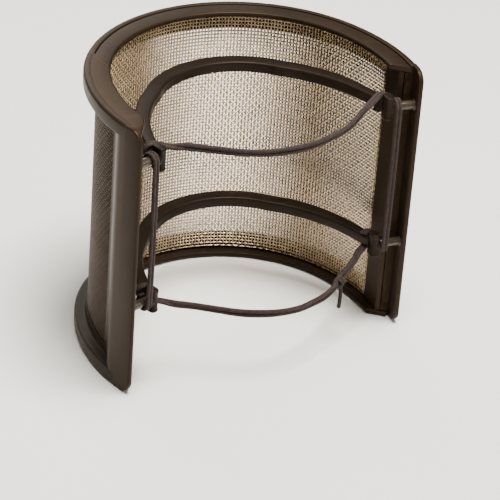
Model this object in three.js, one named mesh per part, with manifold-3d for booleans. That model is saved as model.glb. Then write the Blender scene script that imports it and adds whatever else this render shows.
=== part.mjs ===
// Clip-on pop filter for a large side-address microphone: a horseshoe-shaped
// plastic frame that holds two layers of woven wire mesh, two yokes that sit
// against the front of the microphone, and a doubled elastic cord that goes
// round its back. Millimetres, +Z up. The screen faces +Y and the open side -Y.
// The origin is under the middle of the bounding box, on the base plane.
import * as THREE from 'three';
import { mergeVertices } from 'three/addons/utils/BufferGeometryUtils.js';
import Module from 'manifold-3d';

const wasm = await Module();
wasm.setup();

// ---------------------------------------------------------------- dimensions
const HEIGHT = 87.5;            // overall height of the frame
const HALF = HEIGHT / 2;
const FRONT_R = 49;             // outer radius of the front of the horseshoe
const FRONT_ARC = 58.15;        // half the length of that arc, on the outer edge
const SIDE_R = 60.67;           // outer radius of the flatter sides
const ARC_END = 97.96;          // half the outer arc length, centre to end lip
const RIM_W = 8.0;              // width of the rim, outer edge to inner edge
const BEAD_W = 2.35;            // outer bead of the rim
const GAP = 0.3;                // parting gap between the mouldings
const PLATE_T = 1.85;           // thickness of the inner bands, top and bottom
const FLANGE_H = 4.9;           // height of the outer flange
const RECESS_U = 3.6;           // depth of the outside recess round the window
const WALL_IN_U = 4.05;         // inner face of the outer moulding
const WINDOW_Z = 36.5;          // half height of the window
const POST_S = 80.0;            // where the side posts start, along the arc
const CLAMP_S = 82.5;           // where the inner post face starts
const POST_END = 92.3;          // end face of the outer posts, inside the end lips
const BAND_END_IN = 89.0;       // oblique end of the inner bands at the inner edge
const BAND_END_OUT = 93.1;      // oblique end of the inner bands at the bead
const LIP_T = 1.5;              // thickness of the end lips
const LIP_CORNER_R = 4.5;       // corner radius of the end lips
const SEAM_S_OUT = -44.0;       // seam of the rim at the bead
const SEAM_S_IN = -51.3;        // seam of the rim at the inner edge
const MESH_T = 0.3;             // thickness of one mesh layer
const OUTER_MESH_U = 4.15;      // outer layer, depth from the outer edge
const INNER_MESH_U = 4.65;      // inner layer
const MESH_END = 83.9;          // half arc length of the mesh sheets
const MESH_TOP = 41.6;          // half height of the mesh sheets
const CLAMP_U0 = 5.08;          // strip that clamps the mesh
const CLAMP_U1 = 5.4;
const PIN_S = 95.2;             // pins, along the arc
const PIN_R = 1.42;
const PIN_U0 = 1.75;
const PIN_U1 = 10.3;
const PIN_Z = [32.2, -15.0];    // upper and lower pins, from mid height
const BOSS_U0 = 8.45;
const BOSS_U1 = 11.3;
const BOSS_R = 3.8;
const BOSS_HOLE_R = 1.6;
const LOOP_U0 = 5.75;           // elastic loop round each pin
const LOOP_U1 = 8.15;
const LOOP_R0 = 1.7;
const LOOP_R1 = 2.9;
const YOKE_T = 3.5;             // thickness of the yokes
const YOKE_R = 28.8;            // centreline radius round the microphone
const STRAND_D = 1.3;           // one strand of the elastic cord

// ------------------------------------------------------------------ helpers
// Point at arc length s along the outer edge and depth u towards the inside.
function plan(s, u) {
  const side = s < 0 ? -1 : 1;
  const a = Math.abs(s);
  let x, y, h;
  if (a <= FRONT_ARC) {
    h = a / FRONT_R;
    x = FRONT_R * Math.sin(h);
    y = FRONT_R * Math.cos(h);
  } else {
    const h0 = FRONT_ARC / FRONT_R;
    h = h0 + (a - FRONT_ARC) / SIDE_R;
    x = (FRONT_R - SIDE_R) * Math.sin(h0) + SIDE_R * Math.sin(h);
    y = (FRONT_R - SIDE_R) * Math.cos(h0) + SIDE_R * Math.cos(h);
  }
  return [side * (x - u * Math.sin(h)), y - u * Math.cos(h)];
}

// Direction from the outer edge towards the inside at arc length s.
function inward(s) {
  const a = plan(s, 0);
  const b = plan(s, 1);
  return new THREE.Vector3(b[0] - a[0], b[1] - a[1], 0);
}

function toManifold(geometry) {
  let g = geometry.clone();
  g.deleteAttribute('normal');
  g.deleteAttribute('uv');
  g = mergeVertices(g, 1e-5);
  let tri = Uint32Array.from(g.index.array);
  const pos = Float32Array.from(g.attributes.position.array);
  // drop triangles that collapsed when the vertices were merged
  const keep = [];
  for (let i = 0; i < tri.length; i += 3) {
    if (tri[i] !== tri[i + 1] && tri[i + 1] !== tri[i + 2] && tri[i] !== tri[i + 2]) keep.push(tri[i], tri[i + 1], tri[i + 2]);
  }
  tri = Uint32Array.from(keep);
  // faces point out
  let vol = 0;
  for (let i = 0; i < tri.length; i += 3) {
    const [a, b, c] = [tri[i] * 3, tri[i + 1] * 3, tri[i + 2] * 3];
    vol += pos[a] * (pos[b + 1] * pos[c + 2] - pos[b + 2] * pos[c + 1])
      - pos[a + 1] * (pos[b] * pos[c + 2] - pos[b + 2] * pos[c])
      + pos[a + 2] * (pos[b] * pos[c + 1] - pos[b + 1] * pos[c]);
  }
  if (vol < 0) for (let i = 0; i < tri.length; i += 3) [tri[i], tri[i + 1]] = [tri[i + 1], tri[i]];
  return new wasm.Manifold(new wasm.Mesh({ numProp: 3, vertProperties: pos, triVerts: tri }));
}

function toGeometry(manifold) {
  const m = manifold.getMesh();
  const g = new THREE.BufferGeometry();
  g.setAttribute('position', new THREE.BufferAttribute(Float32Array.from(m.vertProperties), 3));
  g.setIndex(new THREE.BufferAttribute(Uint32Array.from(m.triVerts), 1));
  g.computeVertexNormals();
  return g;
}

const union = (list) => list.reduce((a, b) => a.add(b));

// A section in (u, z), swept along the horseshoe from s0 to s1.
function sweep(section, s0, s1, step = 4.2) {
  const shape = new THREE.Shape(section.map(([u, z]) => new THREE.Vector2(u, z)));
  const steps = Math.max(1, Math.round((s1 - s0) / step));
  const g = new THREE.ExtrudeGeometry(shape, { depth: s1 - s0, steps, bevelEnabled: false });
  const p = g.attributes.position;
  for (let i = 0; i < p.count; i++) {
    const [x, y] = plan(s0 + p.getZ(i), p.getX(i));
    p.setXYZ(i, x, y, p.getY(i));
  }
  return toManifold(g);
}

// An outline in (s, u), bent to the horseshoe and raised from z0 to z1.
function prism(outline, z0, z1) {
  const shape = new THREE.Shape(outline.map(([s, u]) => new THREE.Vector2(...plan(s, u))));
  const g = new THREE.ExtrudeGeometry(shape, { depth: z1 - z0, bevelEnabled: false });
  g.translate(0, 0, z0);
  return toManifold(g);
}

// Arc from s0 to s1 at depth u, as outline points.
function arc(s0, s1, u, step = 4.2) {
  const n = Math.max(1, Math.round(Math.abs(s1 - s0) / step));
  const out = [];
  for (let i = 0; i <= n; i++) out.push([s0 + (s1 - s0) * i / n, typeof u === 'function' ? u(s0 + (s1 - s0) * i / n) : u]);
  return out;
}

// A curved sheet between depths u0 and u1.
function sheet(s0, s1, u0, u1, z0, z1, step = 4.2) {
  return prism([...arc(s0, s1, u0, step), ...arc(s1, s0, u1, step)], z0, z1);
}

// A cutter for one rounded corner of an end lip.
function cornerCutter(side, top) {
  const r = LIP_CORNER_R;
  const pts = [];
  const n = 8;
  for (let i = 0; i <= n; i++) {
    const a = (Math.PI / 2) * i / n;
    pts.push([ARC_END - r + (r + 0.1) * Math.sin(a), HALF - r + (r + 0.1) * Math.cos(a)]);
  }
  pts.push([ARC_END + 3, HALF - r], [ARC_END + 3, HALF + 3], [ARC_END - r, HALF + 3]);
  const shape = new THREE.Shape(pts.map(([s, z]) => new THREE.Vector2(s, z)));
  const g = new THREE.ExtrudeGeometry(shape, { depth: RIM_W + 3, bevelEnabled: false });
  const p = g.attributes.position;
  for (let i = 0; i < p.count; i++) {
    const [x, y] = plan(side * p.getX(i), p.getZ(i) - 2);
    p.setXYZ(i, x, y, top ? p.getY(i) : -p.getY(i));
  }
  return toManifold(g);
}

// A cylinder from depth u0 to u1 along the inward direction at s, at height z.
function radialCylinder(s, u0, u1, z, r, n = 20) {
  const g = new THREE.CylinderGeometry(r, r, u1 - u0, n);
  return place(g, s, (u0 + u1) / 2, z);
}

function place(g, s, u, z) {
  const q = new THREE.Quaternion().setFromUnitVectors(new THREE.Vector3(0, 1, 0), inward(s));
  const [x, y] = plan(s, u);
  g.applyQuaternion(q);
  g.translate(x, y, z);
  return g;
}

// A ring about the pin axis, with a closed section.
function radialRing(s, u0, u1, z, r0, r1, n = 20) {
  const c = Math.min(0.35, (r1 - r0) * 0.3);
  const h = (u1 - u0) / 2;
  const pts = [[r0, -h], [r1 - c, -h], [r1, -h + c], [r1, h - c], [r1 - c, h], [r0, h], [r0, -h]]
    .map(([a, b]) => new THREE.Vector2(a, b));
  return place(new THREE.LatheGeometry(pts, n), s, (u0 + u1) / 2, z);
}

// Two strands side by side, one above the other, as one flat oval tube.
function cordTube(points, steps, height = 2 * STRAND_D, width = STRAND_D) {
  const path = new THREE.CatmullRomCurve3(points.map((p) => new THREE.Vector3(...p)), false, 'centripetal');
  const shape = new THREE.Shape();
  const n = 8;
  for (let i = 0; i < n; i++) {
    const a = 2 * Math.PI * (i + 0.5) / n;
    const k = 1 / Math.cos(Math.PI / n);
    const x = Math.cos(a) * height / 2 * k * 0.96;
    const y = Math.sin(a) * width / 2 * k * 0.96;
    if (i === 0) shape.moveTo(x, y); else shape.lineTo(x, y);
  }
  shape.closePath();
  const g = new THREE.ExtrudeGeometry(shape, { steps, extrudePath: path, bevelEnabled: false });
  return g;
}

// ------------------------------------------------------------- outer moulding
// Section of the rail in (u, z), drawn for the top.
const flangeTop = [
  [0.0, 39.75], [0.0, 41.9], [0.25, 42.85], [0.65, 43.45], [1.1, HALF], [2.0, HALF], [2.25, 43.6], [BEAD_W, 43.3],
];
const flangeUnder = [
  [RECESS_U, WINDOW_Z], [RECESS_U, 37.5], [3.35, 38.2], [2.75, 38.65], [1.6, 38.85], [0.7, 38.95], [0.2, 39.25],
];
const topSection = [...flangeUnder, ...flangeTop, [BEAD_W, MESH_TOP], [WALL_IN_U, MESH_TOP], [WALL_IN_U, WINDOW_Z]];
const bottomSection = topSection.map(([u, z]) => [u, -z]).reverse();
const STEP_IN = 0.15;           // the posts stand this far inside the rails' faces

const rampU = (s) => {
  const t = THREE.MathUtils.clamp((Math.abs(s) - POST_S) / 9, 0, 1);
  return STEP_IN + (RECESS_U - STEP_IN) * (1 - t * t * (3 - 2 * t));
};

// A side post, from the recess out to the end lip.
function outerPost(side) {
  return prism([
    ...arc(side * POST_S, side * (ARC_END - STEP_IN), rampU, 2.0),
    ...arc(side * (ARC_END - STEP_IN), side * POST_S, WALL_IN_U - STEP_IN),
  ], -39.6, 39.6);
}

// Clears the inside of an end lip.
function lipCutter(side) {
  return prism([
    ...arc(side * POST_END, side * (ARC_END + 2), LIP_T, 2),
    [side * (ARC_END + 2), RIM_W + 1], [side * POST_END, RIM_W + 1],
  ], -HALF - 1, HALF + 1);
}

function wideBand(z0, z1) {
  // full-width stretch of the rim, from the seam to the left end
  return prism([
    ...arc(SEAM_S_OUT - 0.1, -BAND_END_OUT - 0.3, BEAD_W - 0.4),
    ...arc(-BAND_END_IN, SEAM_S_IN, RIM_W),
  ], z0, z1);
}

let outer = union([
  sweep(topSection, -ARC_END, ARC_END),
  sweep(bottomSection, -ARC_END, ARC_END),
  outerPost(1), outerPost(-1),
]);
for (const side of [1, -1]) {
  outer = outer.subtract(lipCutter(side)).subtract(cornerCutter(side, true)).subtract(cornerCutter(side, false));
}
outer = outer.add(wideBand(HALF - PLATE_T, HALF - 0.06)).add(wideBand(-HALF + 0.06, -HALF + PLATE_T));

// ------------------------------------------------------------- inner moulding
const bandTop = [
  [BEAD_W + GAP, HALF - PLATE_T + 0.05], [RIM_W, HALF - PLATE_T + 0.05], [RIM_W, HALF - 0.95],
  [RIM_W - 0.2, HALF - 0.5], [RIM_W - 0.6, HALF - 0.3], [BEAD_W + GAP, HALF - 0.3],
];
const bandBottom = bandTop.map(([u, z]) => [u, -z]).reverse();
const POST_Z = HALF - PLATE_T + 0.4;

// Takes the ends of the inner mouldings back along an oblique line.
function endCut(side) {
  const k = (BAND_END_OUT - BAND_END_IN) / (RIM_W - BEAD_W - GAP);
  return prism([
    [side * (BAND_END_IN - k * 1.2), RIM_W + 1.2], [side * (BAND_END_OUT + k), BEAD_W + GAP - 1],
    [side * 99, BEAD_W + GAP - 1], [side * 99, RIM_W + 1.2],
  ], -HALF - 1, HALF + 1);
}

let inner = union([
  sweep(bandTop, SEAM_S_IN - 1, BAND_END_OUT + 0.6),
  sweep(bandBottom, SEAM_S_IN - 1, BAND_END_OUT + 0.6),
  sheet(CLAMP_S, POST_END, CLAMP_U0, CLAMP_U1, -POST_Z, POST_Z),
  sheet(MESH_END + 0.3, POST_END, WALL_IN_U + 0.3, CLAMP_U1, -MESH_TOP, MESH_TOP),
]);
inner = inner.subtract(endCut(1));
const seamCut = prism([
  [SEAM_S_OUT + 0.25 + 2.6, -1], [SEAM_S_OUT + 0.25, BEAD_W - 0.4], [SEAM_S_IN + 0.25, RIM_W], [SEAM_S_IN + 0.25 - 1.3, RIM_W + 1],
  ...arc(SEAM_S_IN - 3, SEAM_S_IN - 8, RIM_W + 1), ...arc(SEAM_S_IN - 8, SEAM_S_OUT, -1),
], -HALF - 1, HALF + 1);
inner = inner.subtract(seamCut);

// Strip that clamps the mesh at the left post.
const leftClamp = union([
  sheet(-POST_END, -CLAMP_S, CLAMP_U0, CLAMP_U1, -MESH_TOP, MESH_TOP),
  sheet(-POST_END, -MESH_END - 0.3, WALL_IN_U + 0.3, CLAMP_U1, -MESH_TOP, MESH_TOP),
]).subtract(endCut(-1));

// ---------------------------------------------------------------------- mesh
const outerMesh = sheet(-MESH_END, MESH_END, OUTER_MESH_U, OUTER_MESH_U + MESH_T, -MESH_TOP, MESH_TOP);
const innerMesh = sheet(-MESH_END, MESH_END, INNER_MESH_U, INNER_MESH_U + MESH_T, -MESH_TOP, MESH_TOP);

// --------------------------------------------------------------------- yokes
const bossAt = (s) => plan(s, (BOSS_U0 + BOSS_U1) / 2);
// centreline of a yoke in plan, with half widths, right half from the middle out
const yokeHalf = [];
for (let i = 0; i <= 9; i++) {
  const a = THREE.MathUtils.degToRad(50 * i / 9);
  yokeHalf.push([YOKE_R * Math.sin(a), YOKE_R * Math.cos(a), 2.45]);
}
yokeHalf.push([26.4, 14.3, 2.45], [30.2, 9.3, 2.35], [33.2, 4.2, 2.2], [35.4, -1.0, 2.0], [36.9, -6.0, 1.85], [38.2, -11.0, 1.8], [39.0, -14.6, 1.8]);

function yoke(z) {
  const line = [...yokeHalf.slice(1).reverse().map(([x, y, w]) => [-x, y, w]), ...yokeHalf];
  const left = [];
  const right = [];
  for (let i = 0; i < line.length; i++) {
    const a = line[Math.max(0, i - 1)];
    const b = line[Math.min(line.length - 1, i + 1)];
    const d = Math.hypot(b[0] - a[0], b[1] - a[1]);
    const n = [-(b[1] - a[1]) / d, (b[0] - a[0]) / d];
    left.push(new THREE.Vector2(line[i][0] + n[0] * line[i][2], line[i][1] + n[1] * line[i][2]));
    right.push(new THREE.Vector2(line[i][0] - n[0] * line[i][2], line[i][1] - n[1] * line[i][2]));
  }
  const g = new THREE.ExtrudeGeometry(new THREE.Shape([...left, ...right.reverse()]), {
    depth: YOKE_T - 1.0, bevelEnabled: true, bevelThickness: 0.5, bevelSize: 0.5, bevelOffset: -0.5, bevelSegments: 1,
  });
  g.translate(0, 0, z - YOKE_T / 2 + 0.5);
  let body = toManifold(g);
  for (const side of [1, -1]) {
    body = body.add(toManifold(radialCylinder(side * PIN_S, BOSS_U0, BOSS_U1, z, BOSS_R, 28)));
    body = body.subtract(toManifold(radialCylinder(side * PIN_S, BOSS_U0 - 3, PIN_U1 + 0.25, z, BOSS_HOLE_R, 20)));
  }
  return body;
}

// --------------------------------------------------------------------- cord
// The doubled cord hooks over each arm near its boss, then goes round the
// back of the microphone.
const SPAN_X = 19.5;            // the middle span ends here
const UPPER_ROUTE = [
  [-37.9, -12.1, 35.7], [-36.2, -12.8, 35.4], [-33.2, -13.9, 34.1], [-27.2, -15.8, 32.9], [-22.2, -17.8, 32.1],
  [-16.8, -21.5, 32.0], [-12.4, -24.1, 32.0], [-8.0, -25.8, 32.0], [-2.0, -27.0, 32.0], [3.7, -27.2, 32.0], [8.4, -26.5, 32.0],
  [12.8, -25.2, 32.0], [18.2, -23.4, 32.1], [23.0, -21.0, 32.4], [27.5, -18.3, 33.2], [32.4, -15.2, 34.3], [35.9, -13.2, 35.2], [37.9, -12.1, 35.5],
];
const LOWER_ROUTE = [
  [-37.9, -12.2, -18.6], [-36.0, -13.0, -18.8], [-30.5, -14.2, -19.8], [-24.1, -16.0, -21.2], [-17.6, -20.3, -21.8],
  [-12.6, -23.6, -22.2], [-7.0, -26.0, -22.6], [-2.0, -27.0, -23.1], [2.9, -26.9, -23.7], [7.6, -26.0, -24.3],
  [12.0, -24.3, -24.9], [17.4, -22.4, -25.2], [21.5, -20.6, -24.7], [25.8, -18.5, -23.3], [31.2, -15.9, -20.9], [35.2, -13.6, -18.9], [37.8, -12.2, -18.35],
];
function band(route) {
  const curve = new THREE.CatmullRomCurve3(route.map((p) => new THREE.Vector3(...p)), false, 'centripetal');
  const dense = curve.getPoints(400);
  const pick = (lo, hi, n) => {
    const part = dense.filter((p) => p.x >= lo && p.x <= hi);
    const out = [];
    for (let i = 0; i < n; i++) {
      const p = part[Math.round((part.length - 1) * i / (n - 1))];
      out.push([p.x, p.y, p.z]);
    }
    return out;
  };
  return {
    mid: pick(-SPAN_X, SPAN_X, 19),
    ends: [pick(SPAN_X + 0.35, 99, 9), pick(-99, -SPAN_X - 0.35, 9).reverse()],
  };
}
const UPPER = band(UPPER_ROUTE);
const LOWER = band(LOWER_ROUTE);

function riser(side) {
  // straight down from the open side of the upper loop to that of the lower one
  const [x, y] = plan(side * PIN_S, (LOOP_U0 + LOOP_U1) / 2);
  const t = plan(side * (PIN_S + 2), (LOOP_U0 + LOOP_U1) / 2);
  const k = (LOOP_R0 + LOOP_R1) / 2 / Math.hypot(t[0] - x, t[1] - y);
  const px = x + (t[0] - x) * k;
  const py = y + (t[1] - y) * k;
  const top = PIN_Z[0] - LOOP_R1 - 0.35;
  const low = PIN_Z[1] + LOOP_R1 + 0.35;
  return [0, 0.25, 0.5, 0.75, 1].map((f) => [px, py, top + (low - top) * f]);
}

// ------------------------------------------------------------------ assembly
const material = (color, roughness, metalness) => new THREE.MeshStandardMaterial({ color, roughness, metalness });
const group = new THREE.Group();
group.name = 'pop_filter';
const frameGroup = new THREE.Group();
const cordGroup = new THREE.Group();
group.add(frameGroup, cordGroup);

function addMesh(parent, name, geometry, mat) {
  geometry.computeVertexNormals();
  const m = new THREE.Mesh(geometry, mat);
  m.name = name;
  parent.add(m);
  return m;
}

addMesh(frameGroup, 'outer_frame', toGeometry(outer), material(0x2b2420, 0.42, 0.0));
addMesh(frameGroup, 'inner_frame', toGeometry(inner), material(0x2a2320, 0.38, 0.0));
addMesh(frameGroup, 'left_mesh_clamp', toGeometry(leftClamp), material(0x27211e, 0.4, 0.0));
addMesh(frameGroup, 'outer_mesh', toGeometry(outerMesh), material(0xa8977c, 0.35, 0.9));
addMesh(frameGroup, 'inner_mesh', toGeometry(innerMesh), material(0xb8a78a, 0.3, 0.9));
addMesh(frameGroup, 'upper_yoke', toGeometry(yoke(PIN_Z[0])), material(0x241f1c, 0.45, 0.0));
addMesh(frameGroup, 'lower_yoke', toGeometry(yoke(PIN_Z[1])), material(0x241f1c, 0.45, 0.0));

for (const [row, z] of [['upper', PIN_Z[0]], ['lower', PIN_Z[1]]]) {
  for (const [name, side] of [['right', 1], ['left', -1]]) {
    addMesh(frameGroup, `${row}_${name}_pin`, radialCylinder(side * PIN_S, PIN_U0, PIN_U1, z, PIN_R, 20),
      material(0x2c2724, 0.18, 0.85));
    addMesh(cordGroup, `${row}_${name}_cord_loop`, radialRing(side * PIN_S, LOOP_U0, LOOP_U1, z, LOOP_R0, LOOP_R1, 20),
      material(0x3a2e2c, 0.8, 0.0));
  }
}

for (const [row, b] of [['upper', UPPER], ['lower', LOWER]]) {
  addMesh(cordGroup, `${row}_cord_span`, cordTube(b.mid, 36), material(0x3a2e2c, 0.8, 0.0));
  addMesh(cordGroup, `${row}_cord_right_end`, cordTube(b.ends[0], 14), material(0x3a2e2c, 0.8, 0.0));
  addMesh(cordGroup, `${row}_cord_left_end`, cordTube(b.ends[1], 14), material(0x3a2e2c, 0.8, 0.0));
}
addMesh(cordGroup, 'right_cord_riser', cordTube(riser(1), 16, STRAND_D, 2 * STRAND_D), material(0x3a2e2c, 0.8, 0.0));
addMesh(cordGroup, 'left_cord_riser', cordTube(riser(-1), 16, STRAND_D, 2 * STRAND_D), material(0x3a2e2c, 0.8, 0.0));

// Free end of the cord, below the knot in the lower right stretch.
addMesh(cordGroup, 'cord_tail', cordTube([[25.5, -19.6, -26.1], [25.4, -19.8, -28], [25.1, -20.1, -30], [24.7, -20.4, -32.3]], 8, STRAND_D, STRAND_D),
  material(0x1d1817, 0.85, 0.0));

// Origin under the middle of the bounding box, on the base plane.
group.updateMatrixWorld(true);
const box = new THREE.Box3().setFromObject(group);
group.position.set(-(box.min.x + box.max.x) / 2, -(box.min.y + box.max.y) / 2, -box.min.z);
group.updateMatrixWorld(true);

export default group;
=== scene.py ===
import math
import bpy
import numpy as np
from mathutils import Vector, Matrix


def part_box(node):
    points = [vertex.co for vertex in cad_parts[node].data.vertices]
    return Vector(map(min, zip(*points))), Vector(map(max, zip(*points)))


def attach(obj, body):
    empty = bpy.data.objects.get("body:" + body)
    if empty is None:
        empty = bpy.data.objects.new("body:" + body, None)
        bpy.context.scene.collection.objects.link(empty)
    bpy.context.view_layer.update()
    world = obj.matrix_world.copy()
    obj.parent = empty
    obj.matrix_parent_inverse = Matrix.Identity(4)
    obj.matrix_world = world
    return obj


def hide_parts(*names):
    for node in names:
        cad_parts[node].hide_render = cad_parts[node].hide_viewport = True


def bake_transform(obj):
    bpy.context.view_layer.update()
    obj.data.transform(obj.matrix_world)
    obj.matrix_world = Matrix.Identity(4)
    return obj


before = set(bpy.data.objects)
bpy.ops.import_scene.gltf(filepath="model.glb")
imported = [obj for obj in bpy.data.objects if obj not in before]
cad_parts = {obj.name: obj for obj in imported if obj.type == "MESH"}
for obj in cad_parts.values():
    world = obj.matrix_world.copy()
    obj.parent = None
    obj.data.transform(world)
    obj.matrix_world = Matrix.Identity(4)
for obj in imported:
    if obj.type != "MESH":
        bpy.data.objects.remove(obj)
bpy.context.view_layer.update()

# ------------------------------------------------------------------ dimensions
# Millimetres, heights from the middle of the frame, as in the CAD source.
HALF = 43.75
FRONT_R, FRONT_ARC, SIDE_R, ARC_END = 49.0, 58.15, 60.67, 97.96
RIM_W, BEAD_W, GAP = 8.0, 2.35, 0.3
RECESS_U, WALL_IN_U, WINDOW_Z = 3.6, 4.05, 36.5
POST_S, CLAMP_S, POST_END = 80.0, 82.5, 92.3
LIP_T, LIP_R = 1.5, 4.5
SEAM_OUT, SEAM_IN = -44.0, -51.3
BAND_END_IN, BAND_END_OUT = 89.0, 93.1
PIN_S, PIN_R = 95.2, 1.42
PIN_Z = (32.2, -15.0)
YOKE_T, YOKE_R = 3.5, 28.8
STRAND_R = 0.62
MIC_R = 26.6


def plan(s, u):
    """Plan position at arc length s along the outer edge, u inwards."""
    side = -1.0 if s < 0 else 1.0
    a = abs(s)
    if a <= FRONT_ARC:
        h = a / FRONT_R
        x, y = FRONT_R * math.sin(h), FRONT_R * math.cos(h)
    else:
        h0 = FRONT_ARC / FRONT_R
        h = h0 + (a - FRONT_ARC) / SIDE_R
        x = (FRONT_R - SIDE_R) * math.sin(h0) + SIDE_R * math.sin(h)
        y = (FRONT_R - SIDE_R) * math.cos(h0) + SIDE_R * math.cos(h)
    return side * (x - u * math.sin(h)), y - u * math.cos(h)


def outward(s):
    a, b = plan(s, 1.0), plan(s, 0.0)
    return Vector((b[0] - a[0], b[1] - a[1], 0.0))


# The CAD origin is the middle of the bounding box: the shift comes from a pin.
_lo, _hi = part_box("upper_right_pin")
YS = (_lo[1] + _hi[1]) * 500.0 - plan(PIN_S, (1.75 + 10.3) / 2)[1]


def M(p):
    """Design millimetres to row-frame metres."""
    return (p[0] / 1000.0, (p[1] + YS) / 1000.0, (p[2] + HALF) / 1000.0)


def P(s, u, z):
    x, y = plan(s, u)
    return M((x, y, z))


# ---------------------------------------------------------------- materials
def new_mat(name):
    m = bpy.data.materials.new(name)
    m.use_nodes = True
    nt = m.node_tree
    return m, nt, nt.nodes["Principled BSDF"]


def add(nt, kind, **values):
    n = nt.nodes.new(kind)
    for k, v in values.items():
        setattr(n, k, v)
    return n


def noise(nt, vec, scale, detail=4.0, rough=0.55):
    n = add(nt, "ShaderNodeTexNoise")
    n.inputs["Scale"].default_value = scale
    n.inputs["Detail"].default_value = detail
    n.inputs["Roughness"].default_value = rough
    nt.links.new(vec, n.inputs["Vector"])
    return n


def ramp(nt, fac, stops):
    r = add(nt, "ShaderNodeValToRGB")
    els = r.color_ramp.elements
    while len(els) > 1:
        els.remove(els[-1])
    els[0].position, els[0].color = stops[0][0], stops[0][1]
    for pos, col in stops[1:]:
        e = els.new(pos)
        e.color = col
    nt.links.new(fac, r.inputs["Fac"])
    return r


def c3(r, g, b):
    return (r, g, b, 1.0)


def plastic(name, dark, light, rough_lo, rough_hi, bump=0.06):
    m, nt, b = new_mat(name)
    tc = add(nt, "ShaderNodeTexCoord")
    big = noise(nt, tc.outputs["Object"], 55.0, 3.0)
    fine = noise(nt, tc.outputs["Object"], 2600.0, 2.0, 0.6)
    mid = noise(nt, tc.outputs["Object"], 420.0, 4.0, 0.65)
    col = ramp(nt, big.outputs["Fac"], [(0.3, dark), (0.72, light)])
    # convex edges are lightened in the base colour, broken up by noise: a painted highlight along the rounded edges
    geo = add(nt, "ShaderNodeNewGeometry")
    edge = ramp(nt, geo.outputs["Pointiness"], [(0.5, c3(0, 0, 0)), (0.58, c3(1, 1, 1))])
    edge_highlight_paint = add(nt, "ShaderNodeMath", operation="MULTIPLY")
    nt.links.new(edge.outputs["Color"], edge_highlight_paint.inputs[0])
    nt.links.new(mid.outputs["Fac"], edge_highlight_paint.inputs[1])
    mix = add(nt, "ShaderNodeMix", data_type="RGBA")
    nt.links.new(edge_highlight_paint.outputs[0], mix.inputs["Factor"])
    nt.links.new(col.outputs["Color"], mix.inputs["A"])
    mix.inputs["B"].default_value = tuple(min(1.0, 2.1 * v) for v in light[:3]) + (1.0,)
    nt.links.new(mix.outputs["Result"], b.inputs["Base Color"])
    rr = add(nt, "ShaderNodeMapRange")
    rr.inputs["To Min"].default_value = rough_lo
    rr.inputs["To Max"].default_value = rough_hi
    nt.links.new(mid.outputs["Fac"], rr.inputs["Value"])
    nt.links.new(rr.outputs["Result"], b.inputs["Roughness"])
    b.inputs["IOR"].default_value = 1.24
    b.inputs["Specular IOR Level"].default_value = 0.45
    b.inputs["Specular Tint"].default_value = (1.0, 0.80, 0.62, 1.0)
    bp = add(nt, "ShaderNodeBump")
    bp.inputs["Strength"].default_value = bump
    bp.inputs["Distance"].default_value = 0.0002
    nt.links.new(fine.outputs["Fac"], bp.inputs["Height"])
    nt.links.new(bp.outputs["Normal"], b.inputs["Normal"])
    return m


MAT_FRAME = plastic("moulded_plastic_mat", c3(0.0095, 0.0057, 0.0032), c3(0.0190, 0.0118, 0.0068), 0.33, 0.48, 0.12)
MAT_INNER = plastic("inner_plastic_mat", c3(0.0080, 0.0050, 0.0030), c3(0.0165, 0.0104, 0.0062), 0.34, 0.48, 0.12)
MAT_YOKE = plastic("yoke_plastic_mat", c3(0.0045, 0.0031, 0.0022), c3(0.0095, 0.0065, 0.0046), 0.36, 0.52, 0.10)
MAT_PIN = plastic("pin_mat", c3(0.020, 0.015, 0.011), c3(0.036, 0.027, 0.019), 0.12, 0.22, 0.02)
MAT_PIN.node_tree.nodes["Principled BSDF"].inputs["Coat Weight"].default_value = 0.6
MAT_PIN.node_tree.nodes["Principled BSDF"].inputs["Coat Roughness"].default_value = 0.12


def wire_material(name, dark, light):
    m, nt, b = new_mat(name)
    tc = add(nt, "ShaderNodeTexCoord")
    n1 = noise(nt, tc.outputs["Object"], 240.0, 3.0)
    n2 = noise(nt, tc.outputs["Object"], 3000.0, 2.0)
    col = ramp(nt, n1.outputs["Fac"], [(0.3, dark), (0.7, light)])
    nt.links.new(col.outputs["Color"], b.inputs["Base Color"])
    b.inputs["Metallic"].default_value = 1.0
    rr = add(nt, "ShaderNodeMapRange")
    rr.inputs["To Min"].default_value = 0.20
    rr.inputs["To Max"].default_value = 0.34
    nt.links.new(n2.outputs["Fac"], rr.inputs["Value"])
    nt.links.new(rr.outputs["Result"], b.inputs["Roughness"])
    bp = add(nt, "ShaderNodeBump")
    bp.inputs["Strength"].default_value = 0.1
    bp.inputs["Distance"].default_value = 0.0001
    nt.links.new(n2.outputs["Fac"], bp.inputs["Height"])
    nt.links.new(bp.outputs["Normal"], b.inputs["Normal"])
    return m


MAT_WIRE = wire_material("wire_mat", c3(0.46, 0.355, 0.225), c3(0.60, 0.475, 0.315))
# the outer wire layer is coloured near-black: painted shade for the dark gaps seen between the inner wires
MAT_WIRE_OUTER = wire_material("painted_shade_wire_mat", c3(0.030, 0.021, 0.015), c3(0.052, 0.038, 0.027))


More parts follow.
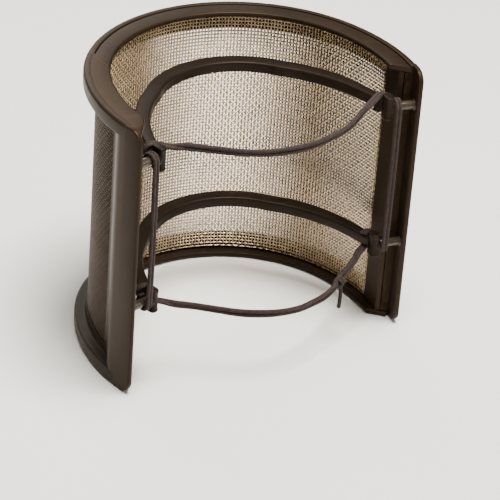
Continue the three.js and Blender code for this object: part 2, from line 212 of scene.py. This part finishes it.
def cord_material(name, dark, light):
    """Braided cover: two crossing diagonal rib patterns on the tube's own UVs."""
    m, nt, b = new_mat(name)
    uv = add(nt, "ShaderNodeUVMap", uv_map="braid")
    sep = add(nt, "ShaderNodeSeparateXYZ")
    nt.links.new(uv.outputs["UV"], sep.inputs["Vector"])

    def diag(sign):
        a = add(nt, "ShaderNodeMath", operation="MULTIPLY")
        nt.links.new(sep.outputs["X"], a.inputs[0])
        a.inputs[1].default_value = sign * 6.0 * 2 * math.pi
        c = add(nt, "ShaderNodeMath", operation="MULTIPLY")
        nt.links.new(sep.outputs["Y"], c.inputs[0])
        c.inputs[1].default_value = 8.5
        d = add(nt, "ShaderNodeMath", operation="ADD")
        nt.links.new(a.outputs[0], d.inputs[0])
        nt.links.new(c.outputs[0], d.inputs[1])
        e = add(nt, "ShaderNodeMath", operation="SINE")
        nt.links.new(d.outputs[0], e.inputs[0])
        return e
    s1, s2 = diag(1.0), diag(-1.0)
    mx = add(nt, "ShaderNodeMath", operation="MAXIMUM")
    nt.links.new(s1.outputs[0], mx.inputs[0])
    nt.links.new(s2.outputs[0], mx.inputs[1])
    mr = add(nt, "ShaderNodeMapRange")
    mr.inputs["From Min"].default_value = -1.0
    nt.links.new(mx.outputs[0], mr.inputs["Value"])
    tc = add(nt, "ShaderNodeTexCoord")
    nz = noise(nt, tc.outputs["Object"], 900.0, 3.0)
    mul = add(nt, "ShaderNodeMath", operation="MULTIPLY")
    nt.links.new(mr.outputs["Result"], mul.inputs[0])
    nt.links.new(nz.outputs["Fac"], mul.inputs[1])
    # colour follows the rib height, lighter on the crests and darker in the grooves: partly the braid's own pattern,
    # partly painted highlight and shade
    col = ramp(nt, mul.outputs[0], [(0.14, dark), (0.46, light)])
    nt.links.new(col.outputs["Color"], b.inputs["Base Color"])
    b.inputs["Roughness"].default_value = 0.8
    b.inputs["Specular IOR Level"].default_value = 0.25
    b.inputs["Sheen Weight"].default_value = 0.08
    b.inputs["Sheen Roughness"].default_value = 0.4
    bp = add(nt, "ShaderNodeBump")
    bp.inputs["Strength"].default_value = 0.6
    bp.inputs["Distance"].default_value = 0.00008
    nt.links.new(mr.outputs["Result"], bp.inputs["Height"])
    nt.links.new(bp.outputs["Normal"], b.inputs["Normal"])
    return m


MAT_CORD = cord_material("cord_mat", c3(0.0035, 0.0021, 0.0020), c3(0.040, 0.0245, 0.0220))
MAT_TAIL = cord_material("tail_mat", c3(0.006, 0.0045, 0.0045), c3(0.022, 0.016, 0.016))


# ------------------------------------------------------------------- meshes
def make(name, verts, faces, mat, body, nodes, smooth=True, angle=35.0):
    me = bpy.data.meshes.new(name)
    me.from_pydata([tuple(v) for v in verts], [], faces)
    me.validate()
    ob = bpy.data.objects.new(name, me)
    bpy.context.scene.collection.objects.link(ob)
    me.materials.append(mat)
    if smooth:
        me.shade_smooth()
        if angle is not None:
            me.set_sharp_from_angle(angle=math.radians(angle))
    me.update()
    if body:
        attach(ob, body)
    if nodes:
        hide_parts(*nodes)
    return ob


def rounded(poly, radii, seg=5):
    """A polygon with each corner replaced by an arc of its own radius."""
    out = []
    n = len(poly)
    for i in range(n):
        p, a, b = Vector(poly[i]), Vector(poly[i - 1]), Vector(poly[(i + 1) % n])
        r = radii[i]
        d1, d2 = (a - p), (b - p)
        l1, l2 = d1.length, d2.length
        d1.normalize(); d2.normalize()
        if r <= 1e-6:
            out.append(tuple(p))
            continue
        ang = math.acos(max(-1, min(1, d1.dot(d2))))
        t = min(r / math.tan(ang / 2), 0.49 * l1, 0.49 * l2)
        r = t * math.tan(ang / 2)
        bis = (d1 + d2).normalized()
        c = p + bis * (r / math.sin(ang / 2))
        p1, p2 = p + d1 * t, p + d2 * t
        v1, v2 = p1 - c, p2 - c
        a1 = math.atan2(v1[1], v1[0]); a2 = math.atan2(v2[1], v2[0])
        da = (a2 - a1 + math.pi) % (2 * math.pi) - math.pi
        for k in range(seg + 1):
            t_ = a1 + da * k / seg
            out.append((c[0] + r * math.cos(t_), c[1] + r * math.sin(t_)))
    return out


class Shells:
    """Collects closed shells into one mesh."""

    def __init__(self):
        self.v, self.f = [], []

    def loft(self, rings, closed=False):
        n = len(rings[0])
        base = len(self.v)
        for r in rings:
            self.v.extend(r)
        m = len(rings)
        # orientation from the first ring's centre to the last
        faces = []
        for i in range(m - 1 if not closed else m):
            a, b = base + i * n, base + ((i + 1) % m) * n
            for j in range(n):
                k = (j + 1) % n
                faces.append((a + j, b + j, b + k, a + k))
        if not closed:
            faces.append(tuple(base + j for j in range(n)))
            faces.append(tuple(base + (m - 1) * n + j for j in reversed(range(n))))
        # outward test by signed volume
        vol = 0.0
        for f in faces:
            p0 = Vector(self.v[f[0]])
            for q in range(1, len(f) - 1):
                vol += p0.dot(Vector(self.v[f[q]]).cross(Vector(self.v[f[q + 1]])))
        if vol < 0:
            faces = [tuple(reversed(f)) for f in faces]
        self.f.extend(faces)


def srange(a, b, step=1.2):
    n = max(2, int(round(abs(b - a) / step)))
    return [a + (b - a) * i / n for i in range(n + 1)]


def rail(sh, section, s0, s1, step=1.2):
    sh.loft([[P(s, u, z) for u, z in section] for s in srange(s0, s1, step)])


def oblique(sh, section, s0fn, s1fn, step=1.2):
    n = max(2, int(round(abs(s1fn(5.0) - s0fn(5.0)) / step)))
    sh.loft([[P(s0fn(u) + (s1fn(u) - s0fn(u)) * i / n, u, z) for u, z in section] for i in range(n + 1)])


def flip(section):
    return [(u, -z) for u, z in section]


# ------------------------------------------------------------ outer moulding
RAIL = rounded(
    [(RECESS_U, WINDOW_Z), (RECESS_U, 38.95), (0.0, 38.95), (0.0, HALF), (BEAD_W, HALF), (BEAD_W, 41.6), (WALL_IN_U, 41.6), (WALL_IN_U, WINDOW_Z)],
    [0.12, 0.9, 0.8, 1.15, 0.3, 0.0, 0.0, 0.12], 6)


def ramp_u(s):
    t = max(0.0, min(1.0, (abs(s) - POST_S) / 9.0))
    return RECESS_U * (1 - t * t * (3 - 2 * t))


def end_s(u):
    return BAND_END_IN + (RIM_W - u) / (RIM_W - BEAD_W - GAP) * (BAND_END_OUT - BAND_END_IN)


def seam_s(u):
    return SEAM_OUT + (u - BEAD_W) / (RIM_W - BEAD_W) * (SEAM_IN - SEAM_OUT)


shell = Shells()
rail(shell, RAIL, -POST_END, POST_END)
rail(shell, flip(RAIL), -POST_END, POST_END)
for side in (1, -1):
    # side post with the ramp out of the recess
    rings = []
    for s in srange(POST_S - 0.4, POST_END, 0.6):
        sec = rounded([(ramp_u(s), -39.6), (ramp_u(s), 39.6), (WALL_IN_U, 39.6), (WALL_IN_U, -39.6)], [0, 0, 0, 0])
        rings.append([P(side * s, u, z) for u, z in sec])
    shell.loft(rings)
    # end lip with rounded corners and edges
    rings = []
    for s in srange(POST_END - 1.4, ARC_END - 0.7, 0.5) + [ARC_END - d for d in (0.55, 0.4, 0.28, 0.18, 0.1, 0.04, 0.0)]:
        d = ARC_END - s
        zm = HALF if d >= LIP_R else HALF - LIP_R + math.sqrt(max(0.0, LIP_R ** 2 - (LIP_R - d) ** 2))
        inset = 0.0
        if d < 0.6:
            inset = 0.6 - math.sqrt(max(0.0, 0.36 - (0.6 - d) ** 2))
        inset = min(inset, 0.58)
        # outer edge keeps the flange's rounding near the corner
        ro = min(1.0, 0.9)
        zz = max(zm - inset, 5.0)
        sec = rounded([(inset, -zz), (inset, zz), (LIP_T - inset * 0.95, zz), (LIP_T - inset * 0.95, -zz)],
                      [min(ro, 0.45 * (LIP_T - 1.95 * inset)), min(ro, 0.45 * (LIP_T - 1.95 * inset)),
                       min(0.3, 0.3 * (LIP_T - 1.95 * inset)), min(0.3, 0.3 * (LIP_T - 1.95 * inset))], 4)
        rings.append([P(side * s, u, z) for u, z in sec])
    shell.loft(rings)
# full-width stretch of the rim on the left
WIDE = rounded([(1.25, 43.735), (RIM_W, 43.735), (RIM_W, 41.9), (1.25, 41.9)], [0.0, 0.7, 0.5, 0.0], 6)
for sec in (WIDE, flip(WIDE)):
    oblique(shell, sec, lambda u: -88.2, lambda u: seam_s(max(u, 1.25)))


def lip_top(s):
    d = ARC_END - s
    return HALF if d >= LIP_R else HALF - LIP_R + math.sqrt(max(0.0, LIP_R ** 2 - (LIP_R - d) ** 2))


# its left end runs out into the end lip in one rounded sweep
for k in (1, -1):
    rings = []
    for s in srange(87.8, 96.7, 0.35):
        t = max(0.0, (s - 88.0) / 8.7)
        ue = 1.35 + (RIM_W - 1.35) * (1 - t ** 1.7)
        zt = min(43.73, lip_top(s) - 0.02)
        zb = min(41.9, zt - 0.9)
        w = ue - 1.2
        sec = rounded([(1.2, k * zt), (ue, k * zt), (ue, k * zb), (1.2, k * zb)], [0.0, min(0.7, 0.45 * w), min(0.4, 0.3 * w), 0.0], 6)
        rings.append([P(-s, u, z) for u, z in sec])
    shell.loft(rings)
make("frame_shell", shell.v, shell.f, MAT_FRAME, "frame", ["outer_frame"])

# ------------------------------------------------------------ inner moulding
BAND = rounded([(BEAD_W + 0.22, 43.5), (RIM_W, 43.5), (RIM_W, 41.95), (BEAD_W + 0.22, 41.95)], [0.22, 0.62, 0.45, 0.0], 6)
inner = Shells()
for sec in (BAND, flip(BAND)):
    oblique(inner, sec, lambda u: seam_s(u) + 0.75, lambda u: end_s(u))
# right post liner
SHEET = rounded([(5.08, -42.4), (5.08, 42.4), (5.4, 42.4), (5.4, -42.4)], [0.05] * 4, 2)
oblique(inner, SHEET, lambda u: CLAMP_S, lambda u: end_s(u), 1.0)
BLOCK = rounded([(4.3, -41.6), (4.3, 41.6), (5.38, 41.6), (5.38, -41.6)], [0.05] * 4, 2)
oblique(inner, BLOCK, lambda u: 84.2, lambda u: end_s(u) - 0.05, 1.0)
make("inner_band", inner.v, inner.f, MAT_INNER, "frame", ["inner_frame"])

left = Shells()
SHEET_L = rounded([(5.08, -41.7), (5.08, 41.7), (5.4, 41.7), (5.4, -41.7)], [0.05] * 4, 2)
oblique(left, SHEET_L, lambda u: -CLAMP_S, lambda u: -end_s(u), 1.0)
oblique(left, BLOCK, lambda u: -84.2, lambda u: -end_s(u) + 0.05, 1.0)
make("left_post_liner", left.v, left.f, MAT_INNER, "frame", ["left_mesh_clamp"])


# --------------------------------------------------------------- woven mesh
PITCH = 1.13
SIDES = 6


def plan_arrays(s, u):
    side = np.where(s < 0, -1.0, 1.0)
    a = np.abs(s)
    h0 = FRONT_ARC / FRONT_R
    h = np.where(a <= FRONT_ARC, a / FRONT_R, h0 + (a - FRONT_ARC) / SIDE_R)
    x = np.where(a <= FRONT_ARC, FRONT_R * np.sin(h), (FRONT_R - SIDE_R) * math.sin(h0) + SIDE_R * np.sin(h))
    y = np.where(a <= FRONT_ARC, FRONT_R * np.cos(h), (FRONT_R - SIDE_R) * math.cos(h0) + SIDE_R * np.cos(h))
    return side * (x - u * np.sin(h)), y - u * np.cos(h)


def wires(name, u0, amp, r, s_phase, z_phase, vertical, nodes, mat):
    """One direction of a plain weave, as closed six-sided wires."""
    s_end, z_end = 83.7, 41.5
    ss = np.arange(-s_end + s_phase, s_end, PITCH)
    zz = np.arange(-z_end + z_phase, z_end, PITCH)
    ns, nz = len(ss), len(zz)
    ang = np.arange(SIDES) * 2 * math.pi / SIDES + math.pi / 6
    sign = np.where((np.arange(ns)[:, None] + np.arange(nz)[None, :]) % 2 == 0, 1.0, -1.0)
    if vertical:
        lines, pts = ns, nz
        S = ss[:, None, None] + r * np.cos(ang)[None, None, :] + np.zeros((ns, nz, 1))
        U = u0 + amp * sign[:, :, None] + r * np.sin(ang)[None, None, :]
        Z = np.broadcast_to(zz[None, :, None], S.shape)
    else:
        lines, pts = nz, ns
        sg = -sign.T
        S = np.broadcast_to(ss[None, :, None], (nz, ns, SIDES)).copy()
        U = u0 + amp * sg[:, :, None] + r * np.sin(ang)[None, None, :]
        Z = zz[:, None, None] + r * np.cos(ang)[None, None, :] + np.zeros((nz, ns, 1))
    U = np.broadcast_to(U, S.shape)
    X, Y = plan_arrays(S, U)
    V = np.stack([X / 1000.0, (Y + YS) / 1000.0, (np.broadcast_to(Z, S.shape) + HALF) / 1000.0], axis=-1).reshape(-1, 3)
    idx = np.arange(lines * pts * SIDES).reshape(lines, pts, SIDES)
    a, b = idx[:, :-1, :], idx[:, 1:, :]
    quads = np.stack([a, b, np.roll(b, -1, axis=2), np.roll(a, -1, axis=2)], axis=-1).reshape(-1, 4)
    caps0 = idx[:, 0, :]
    caps1 = idx[:, -1, ::-1]
    # outward winding: signed volume of the first wire
    n1 = (pts - 1) * SIDES
    q = V[quads[:n1]]
    vol = np.einsum("ij,ij->i", q[:, 0], np.cross(q[:, 1], q[:, 2])).sum() + np.einsum("ij,ij->i", q[:, 0], np.cross(q[:, 2], q[:, 3])).sum()
    # the caps' share is small against a long wire, but counted through the centroid shift
    c = V[idx[0]].reshape(-1, 3).mean(axis=0)
    q = q - c
    vol = np.einsum("ij,ij->i", q[:, 0], np.cross(q[:, 1], q[:, 2])).sum() + np.einsum("ij,ij->i", q[:, 0], np.cross(q[:, 2], q[:, 3])).sum()
    faces = quads.tolist() + caps0.tolist() + caps1.tolist()
    if vol < 0:
        faces = [f[::-1] for f in faces]
    return make(name, V.tolist(), faces, mat, "frame", nodes, True, None)


for layer, u0, sp, zp, r, mat in (("outer", 4.24, 0.8, 0.1, 0.24, MAT_WIRE_OUTER), ("inner", 4.84, 0.55, 0.42, 0.25, MAT_WIRE)):
    wires(layer + "_mesh_uprights", u0, 0.12, r, sp, zp, True, [layer + "_mesh"], mat)
    wires(layer + "_mesh_wefts", u0, 0.12, r, sp, zp, False, [layer + "_mesh"], mat)


# -------------------------------------------------------------------- yokes
def catmull(points, per=10):
    pts = [Vector(p) for p in points]
    out = []
    for i in range(len(pts) - 1):
        p0 = pts[i - 1] if i > 0 else pts[0] * 2 - pts[1]
        p1, p2 = pts[i], pts[i + 1]
        p3 = pts[i + 2] if i + 2 < len(pts) else pts[-1] * 2 - pts[-2]
        for k in range(per):
            t = k / per
            out.append(0.5 * ((2 * p1) + (p2 - p0) * t + (2 * p0 - 5 * p1 + 4 * p2 - p3) * t * t
                              + (3 * p1 - p0 - 3 * p2 + p3) * t ** 3))
    out.append(pts[-1])
    return out


yoke_half = [(YOKE_R * math.sin(math.radians(50 * i / 9)), YOKE_R * math.cos(math.radians(50 * i / 9)), 2.45) for i in range(10)]
yoke_half += [(26.4, 14.3, 2.45), (30.2, 9.3, 2.35), (33.2, 4.2, 2.2), (35.4, -1.0, 2.0), (36.9, -6.0, 1.85), (38.2, -11.0, 1.8), (39.0, -14.6, 1.8)]
yoke_line = [(-x, y, w) for x, y, w in reversed(yoke_half[1:])] + yoke_half


def lathe(sh, s, z, profile, seg=48, flip_side=1):
    """Revolves (u, radius) about the inward axis at arc length s and height z."""
    axis = -outward(s)
    o = Vector((*plan(s, 0.0), z))
    side = Vector((-axis.y, axis.x, 0.0))
    up = Vector((0, 0, 1))
    rings = []
    for u, r in profile:
        c = o + axis * u
        rings.append([M(c + side * (r * math.cos(2 * math.pi * k / seg)) + up * (r * math.sin(2 * math.pi * k / seg))) for k in range(seg)])
    sh.loft(rings)


def edge(u0, u1, r, e=0.35, n=4):
    """A cylinder profile with rounded ends."""
    out = []
    for k in range(n + 1):
        a = math.pi / 2 * k / n
        out.append((u0 + e - e * math.cos(a), r - e + e * math.sin(a)))
    for k in range(n + 1):
        a = math.pi / 2 * k / n
        out.append((u1 - e + e * math.sin(a), r - e + e * math.cos(a)))
    return out


def yoke(name, z):
    sh = Shells()
    line = catmull(yoke_line, 8)
    rings = []
    h = YOKE_T / 2
    for i, p in enumerate(line):
        a, b = line[max(0, i - 1)], line[min(len(line) - 1, i + 1)]
        d = Vector((b[0] - a[0], b[1] - a[1])).normalized()
        n = Vector((-d[1], d[0]))
        w = p[2]
        sec = rounded([(-w, -h), (w, -h), (w, h), (-w, h)], [0.75] * 4, 5)
        rings.append([M((p[0] + n[0] * q, p[1] + n[1] * q, z + zz)) for q, zz in sec])
    sh.loft(rings)
    for side in (1, -1):
        # upright knuckle at the arm's end, with a cap at its top and foot
        rings = []
        for zz, k in ((-3.78, 0.80), (-3.7, 0.90), (-3.5, 0.97), (-3.2, 1.0), (-2.95, 1.0), (-2.8, 0.955), (-2.55, 0.93), (2.55, 0.93),
                      (2.8, 0.955), (2.95, 1.0), (3.2, 1.0), (3.5, 0.97), (3.7, 0.90), (3.78, 0.80)):
            ring = []
            for q in range(40):
                a = 2 * math.pi * q / 40
                ca, sa = math.cos(a), math.sin(a)
                x = math.copysign(abs(ca) ** 0.62, ca) * 2.75 * k
                y = math.copysign(abs(sa) ** 0.62, sa) * 1.40 * k
                ring.append(P(side * (PIN_S + x), 9.87 + y, z + zz))
            rings.append(ring)
        sh.loft(rings)
        # short sleeve that the pin enters
        lathe(sh, side * PIN_S, z, edge(8.2, 9.4, 2.25, 0.3))
    return make(name, sh.v, sh.f, MAT_YOKE, "frame", [name.replace("_arc", "")])


yoke("upper_yoke_arc", PIN_Z[0])
yoke("lower_yoke_arc", PIN_Z[1])

for row, z in (("upper", PIN_Z[0]), ("lower", PIN_Z[1])):
    for sname, side in (("right", 1), ("left", -1)):
        sh = Shells()
        lathe(sh, side * PIN_S, z, edge(1.45, 8.9, PIN_R, 0.12))
        lathe(sh, side * PIN_S, z, edge(1.45, 2.0, PIN_R + 0.35, 0.2))
        make(f"{row}_{sname}_pin_turned", sh.v, sh.f, MAT_PIN, "frame", [f"{row}_{sname}_pin"])


# -------------------------------------------------------------------- cords
def tube(paths, name, mat, body, nodes, r=STRAND_R, sides=14, step=0.3, blend=None, open_start=False):
    """Round strands along paths, with a UV map that runs round and along each."""
    verts, faces, uvs = [], [], []
    for path in paths:
        pts = [Vector(p) for p in path]
        # resample at even steps
        ln = [0.0]
        for a, b in zip(pts, pts[1:]):
            ln.append(ln[-1] + (b - a).length)
        n = max(4, int(ln[-1] / step))
        res, j = [], 0
        for i in range(n + 1):
            t = ln[-1] * i / n
            while j < len(ln) - 2 and ln[j + 1] < t:
                j += 1
            f = (t - ln[j]) / max(1e-9, ln[j + 1] - ln[j])
            res.append(pts[j].lerp(pts[j + 1], f))
        up = Vector((0, 0, 1))
        base = len(verts)
        tan0 = (res[1] - res[0]).normalized()
        nrm = (up - tan0 * up.dot(tan0))
        if nrm.length < 1e-3:
            nrm = Vector((0, 1, 0)) - tan0 * tan0.y
        nrm.normalize()
        for i, p in enumerate(res):
            tan = (res[min(n, i + 1)] - res[max(0, i - 1)]).normalized()
            nrm = (nrm - tan * nrm.dot(tan)).normalized()
            bi = tan.cross(nrm)
            t = ln[-1] * i / n
            k_end = 1.0
            d = ln[-1] - t if open_start else min(t, ln[-1] - t)
            if d < r:
                k_end = math.sqrt(max(0.02, 1 - (1 - d / r) ** 2))
            for k in range(sides):
                a = 2 * math.pi * k / sides
                rr = r * k_end * (1 + 0.035 * max(math.sin(6 * a + 8.5 * t), math.sin(-6 * a + 8.5 * t)))
                verts.append(M(p + (nrm * math.cos(a) + bi * math.sin(a)) * rr))
        for i in range(n):
            for k in range(sides):
                k2 = (k + 1) % sides
                a, b = base + i * sides, base + (i + 1) * sides
                faces.append((a + k, a + k2, b + k2, b + k))
                v0, v1 = ln[-1] * i / n, ln[-1] * (i + 1) / n
                uvs.append([(k / sides, v0), ((k + 1) / sides, v0), ((k + 1) / sides, v1), (k / sides, v1)])
        faces.append(tuple(base + k for k in reversed(range(sides))))
        uvs.append([(0.0, 0.0)] * sides)
        faces.append(tuple(base + n * sides + k for k in range(sides)))
        uvs.append([(0.0, 0.0)] * sides)
    me = bpy.data.meshes.new(name)
    me.from_pydata(verts, [], faces)
    layer = me.uv_layers.new(name="braid")
    flat = [c for f in uvs for uvp in f for c in uvp]
    layer.data.foreach_set("uv", flat)
    me.materials.append(mat)
    me.shade_smooth()
    me.update()
    ob = bpy.data.objects.new(name, me)
    bpy.context.scene.collection.objects.link(ob)
    if blend:
        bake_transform(ob)
    else:
        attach(ob, body)
    if nodes:
        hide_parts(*nodes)
    return ob


UPPER_ROUTE = [
    (-37.9, -12.1, 35.5), (-36.2, -12.8, 35.1), (-33.2, -13.9, 34.1), (-27.2, -15.8, 32.9), (-22.2, -17.8, 32.1),
    (-16.8, -21.5, 32.0), (-12.4, -24.1, 32.0), (-8.0, -25.8, 32.0), (-2.0, -27.0, 32.0), (3.7, -27.2, 32.0), (8.4, -26.5, 32.0),
    (12.8, -25.2, 32.0), (18.2, -23.4, 32.1), (23.0, -21.0, 32.4), (27.5, -18.3, 33.2), (32.4, -15.2, 34.3), (35.9, -13.2, 35.2), (37.9, -12.1, 35.5)]
LOWER_ROUTE = [
    (-37.9, -12.2, -18.35), (-36.0, -13.0, -18.6), (-30.5, -14.2, -19.8), (-24.1, -16.0, -21.2), (-17.6, -20.3, -21.8),
    (-12.6, -23.6, -22.2), (-7.0, -26.0, -22.6), (-2.0, -27.0, -23.1), (2.9, -26.9, -23.7), (7.6, -26.0, -24.3),
    (12.0, -24.3, -24.9), (17.4, -22.4, -25.2), (21.5, -20.6, -24.7), (25.8, -18.5, -23.3), (31.2, -15.9, -20.9), (35.2, -13.6, -18.9), (37.8, -12.2, -18.35)]


def sm(x, lo, hi):
    t = max(0.0, min(1.0, (x - lo) / (hi - lo)))
    return t * t * (3 - 2 * t)


def band_half(route, over, side, strand, loose):
    """Half of one strand of a back cord, from the middle out and round the arm."""
    dense = catmull(route, 12)
    if side < 0:
        dense = dense[::-1]
    half = [p for p in dense if side * p[0] > 0]
    before = [p for p in dense if side * p[0] <= 0][-1]
    first = half[0]
    f = (0.0 - before[0]) / (first[0] - before[0])
    half = [before.lerp(first, max(0.0, f - 0.12))] + half
    pts = []
    k = 1.0 if over else -1.0
    for i, p in enumerate(half):
        a, b = half[max(0, i - 1)], half[min(len(half) - 1, i + 1)]
        d = Vector((b[0] - a[0], b[1] - a[1], 0)).normalized()
        nrm = Vector((-d.y, d.x, 0)) * side
        x = abs(p[0])
        w = sm(x, 28.5, 36.0)
        # slight crossing of the two strands as they lie on the microphone
        sway = 0.16 * math.sin(0.22 * p[0] + 1.3 * strand + (0.0 if over else 2.0)) * (1 - w)
        q = p + Vector((0, 0, 0.59 * strand * (1 - w) + sway * 0.5)) + nrm * (0.62 * strand * w) - Vector((0, 0, k * 0.88 * w))
        if loose and strand > 0:
            # this strand sags away from its twin in the lower right stretch
            g = sm(x, 23.0, 26.5) * (1 - sm(x, 28.0, 34.0))
            q = q + Vector((-1.9 * g, -0.4 * g, -0.2 * g))
        pts.append(tuple(q))
    x0, y0, z0 = pts[-1]
    for dx, dz in ((0.8, 0.0), (1.6, -0.06), (2.2, -0.3), (2.6, -0.85), (2.78, -1.7), (2.78, -2.9), (2.6, -3.9), (2.1, -4.5), (1.3, -4.75), (0.1, -4.8), (-1.2, -4.8)):
        pts.append((x0 + side * dx, y0 + 0.25 * dx, z0 + k * dz))
    return pts


BLEND = {}
for row, route, over in (("upper", UPPER_ROUTE, True), ("lower", LOWER_ROUTE, False)):
    z_mid = route[8][2]
    for sname, side in (("right", 1), ("left", -1)):
        BLEND[row, sname] = (f"{row}_band", M((side * 35.5, -13.5, z_mid)), M((side * 12.0, -24.5, z_mid)))
        tube([band_half(route, over, side, q, row == "lower" and side > 0) for q in (1, -1)], f"{row}_band_{sname}", MAT_CORD, None,
             [f"{row}_cord_span", f"{row}_cord_{sname}_end"], blend=BLEND[row, sname], open_start=True)


def riser_path(side, u):
    """A strand that hooks over the upper pin, runs down and hooks round the lower one."""
    axis = -outward(side * PIN_S)
    o = Vector((*plan(side * PIN_S, 0.0), 0.0)) + axis * u
    a, b = plan(side * PIN_S, 0.0), plan(side * (PIN_S + 1), 0.0)
    t = Vector((b[0] - a[0], b[1] - a[1], 0)).normalized()
    R = PIN_R + STRAND_R + 0.1
    pts = []
    for i in range(25):
        f = math.radians(250 - 250 * i / 24)
        pts.append(o + t * (R * math.cos(f)) + Vector((0, 0, PIN_Z[0] + R * math.sin(f))))
    for i in range(1, 12):
        z = PIN_Z[0] + (PIN_Z[1] - PIN_Z[0]) * i / 12
        bow = 0.25 * math.sin(math.pi * i / 12)
        pts.append(o + t * (R + bow) + Vector((0, 0, z)))
    for i in range(25):
        f = math.radians(-250 * i / 24)
        pts.append(o + t * (R * math.cos(f)) + Vector((0, 0, PIN_Z[1] + R * math.sin(f))))
    return pts


for sname, side in (("right", 1), ("left", -1)):
    tube([riser_path(side, 6.5), riser_path(side, 7.56)], f"{sname}_riser_braid", MAT_CORD, "frame",
         [f"{sname}_cord_riser", f"upper_{sname}_cord_loop", f"lower_{sname}_cord_loop"], r=0.55)

# free end of the cord and the knot it hangs from
tail_pts = [(25.6, -19.3, -24.6), (25.55, -19.5, -25.4), (25.5, -19.6, -26.1), (25.42, -19.78, -28.0), (25.1, -20.1, -30.0), (24.75, -20.38, -32.2)]
tail_line = catmull(tail_pts, 6)
tube([tail_line], "cord_free_end", MAT_TAIL, None, ["cord_tail"], r=0.6, step=0.25, blend=BLEND["lower", "right"])
knot = []
kd = Vector((31.2 - 21.5, -15.9 + 20.6, -20.9 + 24.7)).normalized()
kn = kd.cross(Vector((0, 0, 1))).normalized()
kb = kd.cross(kn)
for i in range(49):
    f = i / 48
    a = 2 * math.pi * 2.1 * f
    knot.append(tuple(Vector((25.3, -18.8, -23.75)) + kd * (2.2 * (f - 0.5)) + kn * (1.15 * math.cos(a)) + kb * (1.3 * math.sin(a))))
tube([knot], "cord_knot", MAT_CORD, None, [], r=0.5, step=0.25, blend=BLEND["lower", "right"])

# ------------------------------------------------------------- floor and light
floor_me = bpy.data.meshes.new("studio_floor")
floor_me.from_pydata([(-8, -8, 0), (8, -8, 0), (8, 8, 0), (-8, 8, 0)], [], [(0, 1, 2, 3)])
floor = bpy.data.objects.new("studio_floor", floor_me)
bpy.context.scene.collection.objects.link(floor)
fm, fnt, fb = new_mat("floor_mat")
fb.inputs["Base Color"].default_value = (0.88, 0.87, 0.85, 1.0)
fb.inputs["Roughness"].default_value = 0.85
floor_me.materials.append(fm)

world = bpy.data.worlds.new("studio_world")
bpy.context.scene.world = world
world.use_nodes = True
bg = world.node_tree.nodes["Background"]
bg.inputs["Color"].default_value = (1.0, 0.95, 0.89, 1.0)
bg.inputs["Strength"].default_value = 0.13


def area(name, loc, target, size, power, color=(1, 0.95, 0.88)):
    d = bpy.data.lights.new(name, "AREA")
    d.energy = power
    d.size = size
    d.color = color
    ob = bpy.data.objects.new(name, d)
    ob.location = loc
    v = Vector(target) - Vector(loc)
    ob.rotation_euler = v.to_track_quat("-Z", "Y").to_euler()
    bpy.context.scene.collection.objects.link(ob)
    return ob


area("key_soft", (0.06, -0.12, 0.90), (0, 0.0, 0.045), 0.38, 24.0)
area("fill_right", (0.65, -0.6, 0.60), (0, 0.0, 0.045), 0.6, 3.0)
area("back_soft", (0.1, 0.8, 0.5), (0, 0.0, 0.045), 0.6, 4.0)

# -------------------------------------------------------------------- camera
cam_d = bpy.data.cameras.new("camera")
cam = bpy.data.objects.new("camera", cam_d)
bpy.context.scene.collection.objects.link(cam)
cam_d.sensor_width = 36.0
cam_d.lens = 2700.67 / 500.0 * 36.0
R2 = Vector((0.86178, -0.50313, 0.06479)).normalized()
U2 = Vector((0.20964, 0.46952, 0.85767)).normalized()
F2 = R2.cross(U2).normalized()
U2 = F2.cross(R2).normalized()
loc = Vector(M((-375.69, -596.75, 402.01)))
cam.matrix_world = Matrix((
    (R2.x, U2.x, F2.x, loc.x),
    (R2.y, U2.y, F2.y, loc.y),
    (R2.z, U2.z, F2.z, loc.z),
    (0, 0, 0, 1)))
cam_d.clip_start = 0.01
cam_d.clip_end = 50.0
bpy.context.scene.camera = cam
